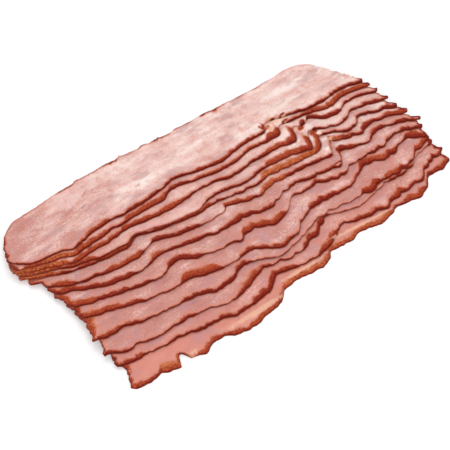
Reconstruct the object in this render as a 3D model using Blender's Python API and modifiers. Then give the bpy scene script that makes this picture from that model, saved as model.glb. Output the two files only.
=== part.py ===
"""A fanned portion of thirteen smoked turkey rashers, each one a solid of its own.

The rashers lie as they were cut. Number 1 is flat on the table at the front, and each next one lies
a step further back on those before it, so that its smoked front edge shows and its back edge comes
down to the table. X runs along the rashers, Y from the front of the fan to its back, and Z up.
"""

import math

import bmesh
import bpy
import numpy as np
from mathutils import Vector

# ---- Driving dimensions, in millimetres -------------------------------------------------------

MM = 0.001
RASHER_COUNT = 13
SLICE_THICKNESS = 1.6
LAYER_RISE = 2.15           # one slice and the gap above it, measured straight up
LEAST_STEP = 1.2            # a front edge stays at least this far behind the one below it
FAN_CENTRE = (10.75, 8.6)   # this point of the layout becomes the part's origin

# X of the two ends of each front edge, from rasher 1 to rasher 13.
LEFT_TIPS = (-108.5, -107.5, -109, -109.5, -106, -106, -107, -109.5, -109.5, -113, -115, -118.5, -119)
RIGHT_TIPS = (139, 140.5, 138.5, 138.5, 137, 137.5, 139.5, 137.5, 136.5, 135.5, 135.5, 134, 133)

# What changes steadily through the fan is given for these rashers and worked out for the others.
NAMED_RASHERS = (1, 4, 7, 10, 13)

# Y of each front edge between its grooves, at these three stations, from rasher 1 to rasher 13.
FRONT_STATIONS = (-70.0, 25.0, 105.0)
FRONT_LINES = (
    (-60.0, -59.0, -54.0),
    (-48.5, -52.5, -48.0),
    (-41.5, -42.5, -39.0),
    (-31.0, -37.0, -36.0),
    (-20.5, -30.5, -26.5),
    (-11.5, -20.5, -20.0),
    (-2.0, -12.0, -13.0),
    (6.5, -2.5, -5.0),
    (17.0, 4.5, 1.5),
    (21.5, 10.0, 8.5),
    (24.5, 18.5, 18.5),
    (30.0, 27.0, 26.0),
    (35.0, 33.0, 32.0),
)

# The smoked outside of the joint is grooved by its net, and each slice crosses the same grooves.
# A groove has its places on the named rashers, its depths there (a lobe's depth is negative), and
# the reaches of its left and right banks.
GROOVES = {
    "left_shoulder": ((-108, -110, -110, -114, -116), (1.0, 3.5, 10.5, 6.0, 8.0), (30, 18)),
    "left_nick": ((-88, -92, -91, -91, -86), (0.5, 2.5, 1.0, -1.5, -3.5), (4, 9)),
    "left_groove": ((-60, -45, -47, -51, -61), (-1.5, 0.0, 5.5, 4.0, 1.0), (7, 20)),
    "front_lobe": ((-31, -34, -20, -24, -27), (-5.0, -4.0, 0.5, 0.5, 0.5), (9, 28)),
    "middle_groove": ((5, -9, 10, 0, -11), (4.0, 3.0, 2.0, 3.5, 4.5), (11, 14)),
    "middle_lobe": ((30, 8, 23, 36, 20), (1.5, -4.5, -4.0, 0.5, -1.5), (11, 19)),
    "right_groove": ((55, 46, 39, 38, 45), (4.5, 4.0, 6.0, 3.0, 2.0), (12, 20)),
    "torn_groove": ((88, 82, 87, 83, 68), (0.5, 1.0, 5.5, 8.5, 7.0), (6, 19)),
    "right_nick": ((123, 127, 115, 113, 116), (4.0, 2.0, 4.5, 6.0, 0.5), (6, 17)),
    "right_droop": ((141, 135, 146, 143, 138), (2.5, 2.5, -7.0, -3.5, -3.0), (10, 24)),
    "right_tip": ((141, 140, 140, 137, 135), (0.5, 1.0, -1.6, -1.3, -1.2), (9, 9)),
}

# Marks that only one rasher has: its number, place, depth, and the reaches of its two banks.
OWN_MARKS = (
    (1, 41, 2.0, 6, 6),
    (1, 107, -2.5, 5, 5),
    (2, 1, 2.0, 4, 5),
    (2, 53, 3.0, 5, 9),
    (3, -107, 4.0, 4, 5),
    (3, 50, 3.0, 6, 6),
    (3, 94, 1.6, 8, 7),
    (3, 128, 1.1, 14, 12),
    (4, -15, 2.0, 7, 7),
    (4, 84, -2.5, 5, 6),
    (4, 108, -3.0, 7, 6),
    (5, 18, -4.0, 18, 18),
    (5, 95, 4.0, 12, 7),
    (5, 137, -6.5, 7, 6),
    (6, -3, -3.0, 5, 5),
    (6, 39, 3.0, 5, 5),
    (6, -41, 2.5, 6, 6),
    (6, 57, 3.0, 8, 8),
    (6, 141, -4.0, 6, 6),
    (7, -100, 2.0, 9, 9),
    (8, -112, 4.0, 8, 8),
    (8, -45, 2.0, 3, 8),
    (8, 6, 3.0, 4, 6),
    (8, 84, -3.0, 4, 5),
    (9, 89, 3.0, 4, 5),
    (9, 115, 2.5, 3, 5),
    (10, -60, -7.0, 20, 18),
    (10, -24, -7.0, 18, 18),
    (10, 84, 2.5, 5, 6),
    (11, 76, -3.0, 5, 5),
    (11, 88, 4.5, 4, 5),
    (11, -119, 3.0, 7, 7),
    (12, -122, 5.0, 8, 8),
    (12, -16, 3.0, 4, 8),
    (13, -121, 6.5, 8, 8),
    (13, -110, -4.4, 9, 10),
)

# The back edges are a step apart. The first slice off the joint is narrower than the others.
TOP_BACK_LINE = 77.5
BACK_STEP = 7.6
BACK_CROWN = 4.5            # the back edges bow out by this much
BACK_CROWN_PLACE = -45.0
BACK_CROWN_REACH = 45.0
BACK_FALL = 2.2             # and to the right of here they draw in by this much
BACK_FALL_START = 35.0
BACK_FALL_REACH = 25.0
BEND_REACH = 10.0           # half the width of the bend where the slices turn down to the table
BACK_CORNER = 8.5           # how far from its end a slice's back edge rounds off, at most
BACK_CORNER_SHARE = 0.35    # and at most this share of the slice's width there
FRONT_CORNER = 1.0

# Behind the top rasher's tips the fan's two ends draw in towards its back.
LEFT_SLANT = 13.0
RIGHT_SLANT = 12.0
END_BOW = 1.5               # above 1, the ends draw in more towards the back

# The lowest rashers' left ends step in behind their tips instead.
STEPPED_RASHERS = 3
LEFT_STEP = 3.5
LEFT_STEP_REACH = 8.0

# The bite out of rasher 1's front edge.
BITE_PLACE = (-73.4, -57.4)
BITE_RADIUS = 2.2
BITE_SIDES = 14

# ---- Mesh fineness ----------------------------------------------------------------------------

CELLS_ALONG = 45
CELLS_ACROSS_BENT = 5       # for the rashers that turn down in the bend
CELLS_ACROSS_STRAIGHT = 2
LAST_BENT_RASHER = 8
END_CROWDING = 0.4          # how much closer the stations stand near the ends, from 0 to 1

# ---- Colours, as sRGB from 0 to 255 -----------------------------------------------------------

BOTTOM_MEAT = (222, 145, 130)
MIDDLE_MEAT = (208, 148, 142)
TOP_MEAT = (226, 187, 180)
MEAT_ROUGHNESS = 0.45


def through_fan(values, rasher):
    """Value for one rasher, read between the values of the named rashers."""
    return float(np.interp(rasher, NAMED_RASHERS, values))


def bank(distance, left, right):
    """A smooth hump of height 1 whose two sides have reaches of their own."""
    reach = np.where(distance < 0.0, left, right)
    return np.exp(-(distance / reach) ** 2)


def line_between_grooves(rasher, x):
    """The parabola through a rasher's three front line values."""
    return np.polyval(np.polyfit(FRONT_STATIONS, FRONT_LINES[rasher - 1], 2), x)


def front_edge(rasher, x):
    """Y of a rasher's front edge: its line, the grooves that it crosses and its own marks."""
    y = line_between_grooves(rasher, x)
    for places, depths, (left, right) in GROOVES.values():
        y = y + through_fan(depths, rasher) * bank(x - through_fan(places, rasher), left, right)
    for owner, place, depth, left, right in OWN_MARKS:
        if owner == rasher:
            y = y + depth * bank(x - place, left, right)
    if rasher > 1:
        y = np.maximum(y, front_edge(rasher - 1, x) + LEAST_STEP)
    return y


def layers_passed(back):
    """How many slices have ended by this distance behind the start of the bend.

    It grows as a square through the bend, and then by one for each back step.
    """
    in_bend = back ** 2 / (4.0 * BEND_REACH * BACK_STEP)
    behind_bend = (back - BEND_REACH) / BACK_STEP
    return np.where(back < 0.0, 0.0, np.where(back < 2.0 * BEND_REACH, in_bend, behind_bend))


def reach_of_layers(count):
    """The distance behind the start of the bend by which this many slices have ended."""
    if count < BEND_REACH / BACK_STEP:
        return math.sqrt(4.0 * BEND_REACH * BACK_STEP * count)
    return BEND_REACH + BACK_STEP * count


BEND_START = TOP_BACK_LINE - reach_of_layers(RASHER_COUNT - 1)


def back_crown(x):
    """How far the back edges bow out at x, less what they draw in on the right."""
    bow = BACK_CROWN * bank(x - BACK_CROWN_PLACE, BACK_CROWN_REACH, BACK_CROWN_REACH)
    along_fall = np.maximum(x - BACK_FALL_START, 0.0)
    return bow - BACK_FALL * (1.0 - bank(along_fall, BACK_FALL_REACH, BACK_FALL_REACH))


def back_edge(rasher, x):
    """Y of a rasher's back edge, where its underside meets the table."""
    return BEND_START + reach_of_layers(rasher - 1) + back_crown(x)


def underside(rasher, x, y):
    """Height of a rasher's underside: one layer for each slice that still lies beneath it."""
    return LAYER_RISE * (rasher - 1 - layers_passed(y - back_crown(x) - BEND_START))


def rounded_off(distance, reach):
    """How far a corner is cut back at a distance from the end, along a parabola."""
    return reach * np.clip(1.0 - distance / reach, 0.0, 1.0) ** 2


def tip_line(number, tips):
    """Y of a rasher's front edge at its tip."""
    return float(front_edge(number, tips[number - 1]))


def tip_shift(rasher, tips, behind):
    """How far right of its tip a rasher's end lies, where it runs through the tips above it."""
    lines = [tip_line(number, tips) for number in range(rasher, RASHER_COUNT + 1)]
    return np.interp(lines[0] + behind, lines, tips[rasher - 1:]) - tips[rasher - 1]


def left_step(rasher, behind):
    """How far the left end of one of the lowest rashers has stepped in."""
    if rasher > STEPPED_RASHERS:
        return 0.0
    return LEFT_STEP * (1.0 - np.exp(-behind / LEFT_STEP_REACH))


def slant_shift(tips, slant, y):
    """How far an end has drawn in at y, from the top rasher's tip to its back edge."""
    start = tip_line(RASHER_COUNT, tips)
    top_width = back_edge(RASHER_COUNT, tips[-1]) - start
    return slant * np.clip((y - start) / top_width, 0.0, 1.0) ** END_BOW


def drawn_in(rasher, front_x, along, behind, y):
    """X behind a point of a front edge, which is this share of the way along the rasher."""
    left_shift = tip_shift(rasher, LEFT_TIPS, behind) + slant_shift(LEFT_TIPS, LEFT_SLANT, y)
    left_shift = left_shift + left_step(rasher, behind)
    right_shift = tip_shift(rasher, RIGHT_TIPS, behind) - slant_shift(RIGHT_TIPS, RIGHT_SLANT, y)
    return front_x + (1.0 - along) * left_shift + along * right_shift


def rasher_surface(rasher, along, across):
    """Points of a rasher's underside for fractions along it and across it, front to back."""
    left = LEFT_TIPS[rasher - 1]
    right = RIGHT_TIPS[rasher - 1]
    front_x = left + (right - left) * along
    front_y = front_edge(rasher, front_x)
    back_y = back_edge(rasher, front_x)
    width = back_y - front_y
    back_y = back_edge(rasher, drawn_in(rasher, front_x, along, width, back_y))
    room = np.minimum(front_x - left, right - front_x)
    front_y = front_y + rounded_off(room, FRONT_CORNER)
    back_y = back_y - rounded_off(room, np.minimum(BACK_CORNER, BACK_CORNER_SHARE * width))
    y = front_y + (back_y - front_y) * across
    x = drawn_in(rasher, front_x, along, width * across, y)
    return x, y, underside(rasher, x, y)


def srgb_to_linear(colour):
    """Linear colour for an sRGB colour given from 0 to 255."""
    share = np.array(colour, dtype=float) / 255.0
    linear = np.where(share <= 0.04045, share / 12.92, ((share + 0.055) / 1.055) ** 2.4)
    return (*linear.tolist(), 1.0)


def meat_material(rasher):
    """Cured turkey meat, rosier low in the fan and paler on top."""
    ends = np.array((BOTTOM_MEAT, MIDDLE_MEAT, TOP_MEAT), dtype=float)
    colour = [np.interp(rasher, (1, 7, RASHER_COUNT), ends[:, channel]) for channel in range(3)]
    material = bpy.data.materials.new(f"turkey_meat_{rasher:02d}")
    material.use_nodes = True
    surface = material.node_tree.nodes["Principled BSDF"]
    surface.inputs["Base Color"].default_value = srgb_to_linear(colour)
    surface.inputs["Roughness"].default_value = MEAT_ROUGHNESS
    surface.inputs["Metallic"].default_value = 0.0
    return material


def grid_mesh(name, cells_along, cells_across):
    """A flat grid over the unit square centred on the origin."""
    shape = bmesh.new()
    bmesh.ops.create_grid(shape, x_segments=cells_along, y_segments=cells_across, size=0.5)
    mesh = bpy.data.meshes.new(name)
    shape.to_mesh(mesh)
    shape.free()
    return mesh


def lay_on_surface(mesh, rasher):
    """Move a unit grid's points onto a rasher's underside."""
    flat = np.empty(len(mesh.vertices) * 3)
    mesh.vertices.foreach_get("co", flat)
    flat = flat.reshape(-1, 3)
    share = flat[:, 0] + 0.5
    crowded = 0.5 - 0.5 * np.cos(math.pi * share)
    along = (1.0 - END_CROWDING) * share + END_CROWDING * crowded
    across = flat[:, 1] + 0.5
    x, y, z = rasher_surface(rasher, along, across)
    laid = np.stack([x - FAN_CENTRE[0], y - FAN_CENTRE[1], z], axis=1) * MM
    mesh.vertices.foreach_set("co", laid.ravel())
    mesh.update()


def add_rasher(rasher, collection):
    """One slice: its underside as an open surface, given its thickness upwards."""
    name = f"rasher_{rasher:02d}"
    bent = 1 < rasher <= LAST_BENT_RASHER
    mesh = grid_mesh(name, CELLS_ALONG, CELLS_ACROSS_BENT if bent else CELLS_ACROSS_STRAIGHT)
    lay_on_surface(mesh, rasher)
    slice_object = bpy.data.objects.new(name, mesh)
    slice_object.data.materials.append(meat_material(rasher))
    collection.objects.link(slice_object)
    shell = slice_object.modifiers.new("slice thickness", "SOLIDIFY")
    shell.thickness = SLICE_THICKNESS * MM
    shell.offset = 1.0
    return slice_object


def add_bite_cutter(collection):
    """The upright cylinder that takes the bite out of rasher 1's front edge."""
    shape = bmesh.new()
    bmesh.ops.create_cone(
        shape, cap_ends=True, segments=BITE_SIDES, radius1=BITE_RADIUS * MM,
        radius2=BITE_RADIUS * MM, depth=6.0 * SLICE_THICKNESS * MM)
    mesh = bpy.data.meshes.new("bite_cutter")
    shape.to_mesh(mesh)
    shape.free()
    cutter = bpy.data.objects.new("bite_cutter", mesh)
    x, y = BITE_PLACE
    cutter.location = Vector((x - FAN_CENTRE[0], y - FAN_CENTRE[1], 0.0)) * MM
    cutter.hide_render = True
    cutter.display_type = "WIRE"
    collection.objects.link(cutter)
    return cutter


def cut_bite(slice_object, cutter):
    """Take the bite out of a slice."""
    bite = slice_object.modifiers.new("bite", "BOOLEAN")
    bite.operation = "DIFFERENCE"
    bite.solver = "EXACT"
    bite.object = cutter


def new_collection(name):
    """A collection linked to the scene."""
    collection = bpy.data.collections.new(name)
    bpy.context.scene.collection.children.link(collection)
    return collection


def main():
    """Build the fan from the bottommost rasher to the top one."""
    for old in list(bpy.data.objects):
        bpy.data.objects.remove(old, do_unlink=True)
    parts = new_collection("smoked_turkey_rashers")
    cutters = new_collection("cutters")
    rashers = [add_rasher(number, parts) for number in range(1, RASHER_COUNT + 1)]
    cut_bite(rashers[0], add_bite_cutter(cutters))


main()
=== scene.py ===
"""Looks of a fanned portion of thirteen smoked turkey rashers.

Each rasher is a thin slice of cured turkey breast. Its front edge is the smoked outside of the joint,
browned and wavy where the joint's net grooved it. The slices lie in the order they were cut, each a
step further back on those before it. Lengths are in millimetres until a mesh is written.
"""

import logging
import math
from dataclasses import dataclass
from enum import Enum, IntEnum

import bpy
import numpy as np
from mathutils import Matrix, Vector


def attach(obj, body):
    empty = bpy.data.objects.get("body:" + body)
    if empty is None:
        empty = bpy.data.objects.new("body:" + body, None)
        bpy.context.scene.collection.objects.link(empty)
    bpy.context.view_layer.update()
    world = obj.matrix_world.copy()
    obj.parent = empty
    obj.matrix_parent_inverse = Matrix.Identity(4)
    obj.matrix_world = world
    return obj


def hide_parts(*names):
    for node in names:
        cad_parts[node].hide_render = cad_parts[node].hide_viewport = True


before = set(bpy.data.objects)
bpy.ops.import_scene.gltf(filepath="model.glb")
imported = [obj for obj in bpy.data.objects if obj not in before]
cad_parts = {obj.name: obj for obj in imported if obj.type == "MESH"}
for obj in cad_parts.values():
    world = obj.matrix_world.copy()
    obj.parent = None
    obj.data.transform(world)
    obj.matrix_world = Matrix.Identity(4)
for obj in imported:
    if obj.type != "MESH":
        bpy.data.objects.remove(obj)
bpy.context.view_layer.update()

LOG = logging.getLogger("turkey_rashers")
MM = 0.001
Array = np.ndarray
RASHER_COUNT = 13
NAMED_RASHERS = (1, 4, 7, 10, 13)

# Ripples of the edges as layers: strength and length in millimetres, and a step of the seed.
Layers = tuple[tuple[float, float, float], ...]
FRONT_RIPPLES: Layers = ((0.45, 11.0, 0.0), (0.5, 4.5, 1.0), (0.28, 2.0, 2.0))
BACK_RIPPLES: Layers = ((0.45, 9.0, 0.0), (0.25, 2.5, 100.0))
END_RIPPLES: Layers = ((0.7, 4.0, 0.0), (0.6, 1.7, 9.0))
BAND_RIPPLES: Layers = ((1.0, 6.0, 0.0), (0.6, 2.4, 100.0))
SEED_STEP = 3.1


class Seed(IntEnum):
    """Where the seeds of each noise start. The slice's number is added."""

    WOBBLE = 7
    FINE_WOBBLE = 9
    RELIEF = 11
    PALLOR = 31
    BACK = 50
    LEFT_RIND = 60
    BACK_RIND = 64
    RIGHT_RIND = 72
    ENDS = 80
    SINK = 90
    BAND = 140
    SEEP = 170
    CREASES = 200
    PATCHES = 401


# ---- Small helpers ----


def through_fan(values: tuple[float, ...], rasher: int) -> float:
    """Value for one rasher, read between the values of the five named rashers."""
    return float(np.interp(rasher, NAMED_RASHERS, values))


def smooth_step(low: float, high: float, value: Array) -> Array:
    """Cubic ramp that is 0 below low and 1 above high.

    Args:
        low: Value at which the ramp starts.
        high: Value at which it reaches 1. It may be below low, for a falling ramp.
        value: Values to map.

    Returns:
        The ramp, 3t^2 - 2t^3 of the clamped share t.
    """
    share = np.clip((value - low) / (high - low), 0.0, 1.0)
    return share * share * (3.0 - 2.0 * share)


def bank(distance: Array, left: float, right: float) -> Array:
    """A bell of height 1, exp(-(d/reach)^2), with a reach of its own on each side."""
    reach = np.where(distance < 0.0, left, right)
    return np.exp(-((distance / reach) ** 2))


def lattice(i: Array, j: Array, seed: float) -> Array:
    """A repeatable number from -1 to 1 for each lattice point, from the fraction of a large sine."""
    value = np.sin(i * 127.1 + j * 311.7 + seed * 74.7) * 43758.5453
    return 2.0 * (value - np.floor(value)) - 1.0


def value_noise(x: Array, y: Array, seed: float) -> Array:
    """Smooth noise from -1 to 1 with features about one unit wide.

    Args:
        x: First coordinate.
        y: Second coordinate.
        seed: Picks the pattern.

    Returns:
        Lattice values blended with the quintic 6t^5 - 15t^4 + 10t^3 along both axes.
    """
    i, j = np.floor(x), np.floor(y)
    s, t = x - i, y - j
    s, t = (u * u * u * (u * (u * 6.0 - 15.0) + 10.0) for u in (s, t))
    low = lattice(i, j, seed) * (1.0 - s) + lattice(i + 1.0, j, seed) * s
    high = lattice(i, j + 1.0, seed) * (1.0 - s) + lattice(i + 1.0, j + 1.0, seed) * s
    return low * (1.0 - t) + high * t


def double_noise(x: Array, y: Array, seed: float) -> Array:
    """Value noise plus a layer half as strong and twice as fine."""
    return value_noise(x, y, seed) + 0.5 * value_noise(2.0 * x, 2.0 * y, seed + 17.0)


def ripple(place: Array, length: float, seed: float) -> Array:
    """Value noise along one line, from -1 to 1, with features of one length."""
    return value_noise(place / length, place * 0.0, seed)


def ripples(place: Array, seed: float, layers: Layers) -> Array:
    """Ripples summed over layers, each a strength, a length and a step of the seed."""
    return sum(strength * ripple(place, length, seed + step) for strength, length, step in layers)


def rounded_off(room: Array, reach: Array | float) -> Array:
    """How far a corner is cut back at a distance from the end, along a parabola."""
    return reach * np.clip(1.0 - room / reach, 0.0, 1.0) ** 2


def by_rasher(kind: type, table: dict[int, tuple[tuple, ...]]) -> dict[int, tuple]:
    """The rows of a table turned into one kind of thing, rasher by rasher."""
    return {rasher: tuple(kind(*row) for row in rows) for rasher, rows in table.items()}


def srgb(hex_colour: str) -> tuple[float, float, float, float]:
    """Linear colour for an sRGB hex value.

    Args:
        hex_colour: Six hex digits, red first.

    Returns:
        Linear red, green and blue, and an alpha of 1.
    """
    share = np.array([int(hex_colour[k : k + 2], 16) for k in (0, 2, 4)]) / 255.0
    linear = np.where(share <= 0.04045, share / 12.92, ((share + 0.055) / 1.055) ** 2.4)
    return (*linear.tolist(), 1.0)


# ---- How the fan lies ----


@dataclass(frozen=True)
class Groove:
    """A groove or lobe of the joint's outside that every slice crosses.

    places and depths are for the named rashers, and a lobe's depth is negative.
    """

    places: tuple[float, ...]
    depths: tuple[float, ...]
    left_reach: float
    right_reach: float


@dataclass(frozen=True)
class Mark:
    """A notch, or a bump if its depth is negative, in an edge of one rasher."""

    place: float
    depth: float
    left_reach: float
    right_reach: float

    def at(self, x: Array) -> Array:
        """How far the mark moves the edge at x."""
        return self.depth * bank(x - self.place, self.left_reach, self.right_reach)


GROOVES = tuple(Groove(*row) for row in (
    ((-108, -110, -110, -114, -116), (1, 3.5, 10.5, 6, 8), 30, 18),
    ((-88, -92, -91, -91, -86), (0.5, 2.5, 1, -1.5, -3.5), 4, 9),
    ((-60, -45, -47, -51, -61), (-1.5, 0, 5.5, 4, 1), 7, 20),
    ((-31, -34, -20, -24, -27), (-5, -4, 0.5, 0.5, 0.5), 9, 28),
    ((5, -9, 10, 0, -11), (4, 3, 2, 3.5, 4.5), 11, 14),
    ((30, 8, 23, 36, 20), (1.5, -4.5, -4, 0.5, -1.5), 11, 19),
    ((55, 46, 39, 38, 45), (4.5, 4, 6, 3, 2), 12, 20),
    ((88, 82, 87, 83, 68), (0.5, 1, 5.5, 8.5, 7), 6, 19),
    ((123, 127, 115, 113, 116), (4, 2, 4.5, 6, 0.5), 6, 17),
    ((141, 135, 146, 143, 138), (2.5, 2.5, -7, -3.5, -3), 10, 24),
    ((141, 140, 140, 137, 135), (0.5, 1, -1.6, -1.3, -1.2), 9, 9),
))

# Y of each front edge at the layout's three stations, from rasher 1 to rasher 13.
FRONT_LINES = (
    (-60, -59, -54), (-48.5, -52.5, -48), (-41.5, -42.5, -39), (-31, -37, -36), (-20.5, -30.5, -26.5),
    (-11.5, -20.5, -20), (-2, -12, -13), (6.5, -2.5, -5), (17, 4.5, 1.5), (21.5, 10, 8.5),
    (24.5, 18.5, 18.5), (30, 27, 26), (35, 33, 32),
)

MARKS: dict[int, tuple[Mark, ...]] = by_rasher(Mark, {
    1: (
        (-104.5, -1.1, 4, 3), (-97, -1.5, 6, 6), (-86.5, -1, 2.5, 3), (-80, -3.4, 6.5, 5),
        (-69, -1.2, 3, 3), (-63, -2.4, 4, 4), (-42.5, -2.8, 2.8, 5), (-31.5, 1.4, 2.5, 2.5),
        (-30, -2, 8, 8), (-9, -1.9, 7, 4), (-3, 0.9, 2, 2.5), (25, -2.6, 11, 7), (36.5, 2.4, 1.6, 4.5),
        (41, 1.2, 6, 6), (51.5, -2.4, 4.5, 5), (74, -1.8, 10, 9), (91, 1.3, 5, 4), (104, -1.1, 2.5, 4),
        (107, -2.5, 5, 5), (115.5, -1.4, 4, 3), (133.5, -1.6, 3, 3),
    ),
    2: (
        (-71, 1.5, 5, 5), (-10, -1.5, 6, 6), (1, 2, 4, 5), (53, 3, 5, 9), (85, -2, 5, 5),
        (114, -1.5, 4, 4),
    ),
    3: ((-107, 4, 4, 5), (50, 3, 6, 6), (70, -1.5, 7, 7), (94, 1.6, 8, 7), (128, 1.1, 14, 12)),
    4: ((-15, 2, 7, 7), (84, -2.5, 5, 6), (108, -3, 7, 6), (140, 1.5, 6, 6)),
    5: ((18, -4, 18, 18), (95, 4, 12, 7), (137, -6.5, 7, 6)),
    6: (
        (-78, 1.5, 6, 6), (-41, 2.5, 6, 6), (-3, -3, 5, 5), (39, 3, 5, 5), (57, 3, 8, 8),
        (141, -4, 6, 6),
    ),
    7: ((-100, 2, 9, 9), (77, -2, 5, 5), (86.5, 3.5, 2.5, 5), (118, 1.5, 5, 5)),
    8: (
        (-112, 4, 8, 8), (-84, 1.5, 5, 5), (-45, 2, 3, 8), (6, 3, 4, 6), (79, -2.5, 5, 3),
        (86.5, 4, 2.5, 6),
    ),
    9: ((-49, 1.5, 5, 5), (83.5, 3, 2.5, 4), (89, 2, 4, 5), (100, -2, 5, 5), (115, 2.5, 3, 5)),
    10: (
        (-60, -7, 20, 18), (-24, -7, 18, 18), (32, -1.5, 8, 8), (71, -2.8, 6, 3), (78.5, 3.5, 2.5, 5),
        (84, 1.5, 5, 6), (95, -1.6, 7, 8),
    ),
    11: (
        (-119, 3, 7, 7), (10, 1.5, 6, 6), (68, -2, 6, 3), (75.5, 3.5, 2.5, 4), (88, 4.5, 4, 5),
        (100, -1.2, 10, 10),
    ),
    12: (
        (-122, 5, 8, 8), (-54, -1.5, 6, 6), (-16, 3, 4, 8), (69, 2.5, 2.5, 5), (90, 1.2, 6, 6),
        (104, -1, 8, 8),
    ),
    13: (
        (-121, 6.5, 8, 8), (-110, -4.4, 9, 10), (-5, 2, 6, 6), (62, 3, 2, 5), (70, 1.5, 6, 6),
        (95, -1.2, 14, 12),
    ),
})


# Tufts of crust along the top slice's back edge.
TUFTS = tuple(Mark(*row) for row in (
    (-58, 0.8, 3, 3), (-24, 1.3, 4, 3), (-3, 1.3, 5, 3), (6, 1, 3, 4), (22, 1, 2, 3), (50, 1.2, 3, 2),
))


@dataclass(frozen=True)
class FanLayout:
    """Where each slice's edges and underside are. It repeats the sizes of the solids."""

    layer_rise: float = 2.15
    least_step: float = 1.2
    centre: tuple[float, float] = (10.75, 8.6)
    left_tips: tuple[float, ...] = (
        -108.5, -107.5, -109, -109.5, -106, -106, -107, -109.5, -109.5, -113, -115, -118.5, -119
    )
    right_tips: tuple[float, ...] = (
        139, 140.5, 138.5, 138.5, 137, 137.5, 139.5, 137.5, 136.5, 135.5, 135.5, 134, 133
    )
    front_stations: tuple[float, float, float] = (-70.0, 25.0, 105.0)
    top_back_line: float = 77.5
    back_step: float = 7.6
    crown: float = 4.5
    crown_place: float = -45.0
    crown_reach: float = 45.0
    fall: float = 2.2
    fall_start: float = 35.0
    fall_reach: float = 25.0
    bend_reach: float = 10.0
    back_corner: float = 8.5
    back_corner_share: float = 0.35
    front_corner: float = 1.0
    left_slant: float = 13.0
    right_slant: float = 12.0
    end_bow: float = 1.5
    stepped_rashers: int = 3
    left_step: float = 3.5
    left_step_reach: float = 8.0

    def front_edge(self, rasher: int, x: Array) -> Array:
        """Y of a slice's front edge.

        Args:
            rasher: Number of the slice, 1 at the bottom.
            x: Places along it.

        Returns:
            A parabola through three stations, plus each groove's and mark's bell, kept a step
            behind the edge below it.
        """
        line = np.polyfit(self.front_stations, FRONT_LINES[rasher - 1], 2)
        y = np.polyval(line, x)
        for groove in GROOVES:
            place, depth = through_fan(groove.places, rasher), through_fan(groove.depths, rasher)
            y = y + Mark(place, depth, groove.left_reach, groove.right_reach).at(x)
        for mark in MARKS.get(rasher, ()):
            y = y + mark.at(x)
        if rasher > 1:
            y = np.maximum(y, self.front_edge(rasher - 1, x) + self.least_step)
        return y

    def layers_passed(self, back: Array) -> Array:
        """Slices that have ended at a distance behind the start of the bend.

        It is d^2 / (4 * reach * step) through the bend and (d - reach) / step behind it.
        """
        in_bend = back**2 / (4.0 * self.bend_reach * self.back_step)
        behind = (back - self.bend_reach) / self.back_step
        bent = np.where(back < 2.0 * self.bend_reach, in_bend, behind)
        return np.where(back < 0.0, 0.0, bent)

    def reach_of_layers(self, count: int) -> float:
        """Distance behind the start of the bend by which this many slices have ended."""
        if count < self.bend_reach / self.back_step:
            return math.sqrt(4.0 * self.bend_reach * self.back_step * count)
        return self.bend_reach + self.back_step * count

    def bend_start(self) -> float:
        """Y at which the slices begin to turn down to the table."""
        return self.top_back_line - self.reach_of_layers(RASHER_COUNT - 1)

    def back_crown(self, x: Array) -> Array:
        """How far the back edges bow out at x, as one bell, less what they draw in on the right."""
        bow = self.crown * bank(x - self.crown_place, self.crown_reach, self.crown_reach)
        along_fall = np.maximum(x - self.fall_start, 0.0)
        return bow - self.fall * (1.0 - bank(along_fall, self.fall_reach, self.fall_reach))

    def back_edge(self, rasher: int, x: Array) -> Array:
        """Y of a slice's back edge, where its underside meets the table."""
        return self.bend_start() + self.reach_of_layers(rasher - 1) + self.back_crown(x)

    def underside(self, rasher: int, x: Array, y: Array) -> Array:
        """Height of a slice's underside: one layer for each slice that still lies beneath it."""
        passed = self.layers_passed(y - self.back_crown(x) - self.bend_start())
        return self.layer_rise * (rasher - 1 - passed)

    def tip_line(self, rasher: int, tips: tuple[float, ...]) -> float:
        """Y of a slice's front edge at its tip."""
        return float(self.front_edge(rasher, np.array(tips[rasher - 1])))

    def tip_shift(self, rasher: int, tips: tuple[float, ...], behind: Array) -> Array:
        """How far right of its tip a slice's end lies, where it runs through the tips above it."""
        lines = [self.tip_line(number, tips) for number in range(rasher, RASHER_COUNT + 1)]
        return np.interp(lines[0] + behind, lines, tips[rasher - 1 :]) - tips[rasher - 1]

    def slant_shift(self, tips: tuple[float, ...], slant: float, y: Array) -> Array:
        """How far an end has drawn in at y, slant * share^bow from the top tip to the back edge."""
        start = self.tip_line(RASHER_COUNT, tips)
        top_width = self.back_edge(RASHER_COUNT, np.array(tips[-1])) - start
        return slant * np.clip((y - start) / top_width, 0.0, 1.0) ** self.end_bow

    def drawn_in(
        self, rasher: int, front_x: Array, along: Array, behind: Array, y: Array
    ) -> Array:
        """X behind a point of a front edge.

        Args:
            rasher: Number of the slice.
            front_x: The point's place.
            along: Its share of the way along the slice.
            behind: Distance behind it, before the corners are cut.
            y: Place in Y.

        Returns:
            The point's place moved by both ends' shifts, each weighted by nearness to that end. The
            lowest slices' left ends also step in by step * (1 - exp(-behind / reach)).
        """
        left = self.tip_shift(rasher, self.left_tips, behind)
        left = left + self.slant_shift(self.left_tips, self.left_slant, y)
        if rasher <= self.stepped_rashers:
            left = left + self.left_step * (1.0 - np.exp(-behind / self.left_step_reach))
        right = self.tip_shift(rasher, self.right_tips, behind)
        right = right - self.slant_shift(self.right_tips, self.right_slant, y)
        return front_x + (1.0 - along) * left + along * right


# ---- The browned edge ----


class Crust(Enum):
    """How a stretch of the smoked outside is browned: its char, 1 at the darkest, and its gold."""

    MAROON = (0.9, 0.0)
    BROWN = (0.62, 0.08)
    RUSSET = (0.45, 0.2)
    RUST = (0.12, 0.12)
    GOLD = (-0.12, 0.8)
    AMBER = (-0.15, 0.25)


MAROON, BROWN, RUSSET, RUST, GOLD, AMBER = Crust


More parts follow.
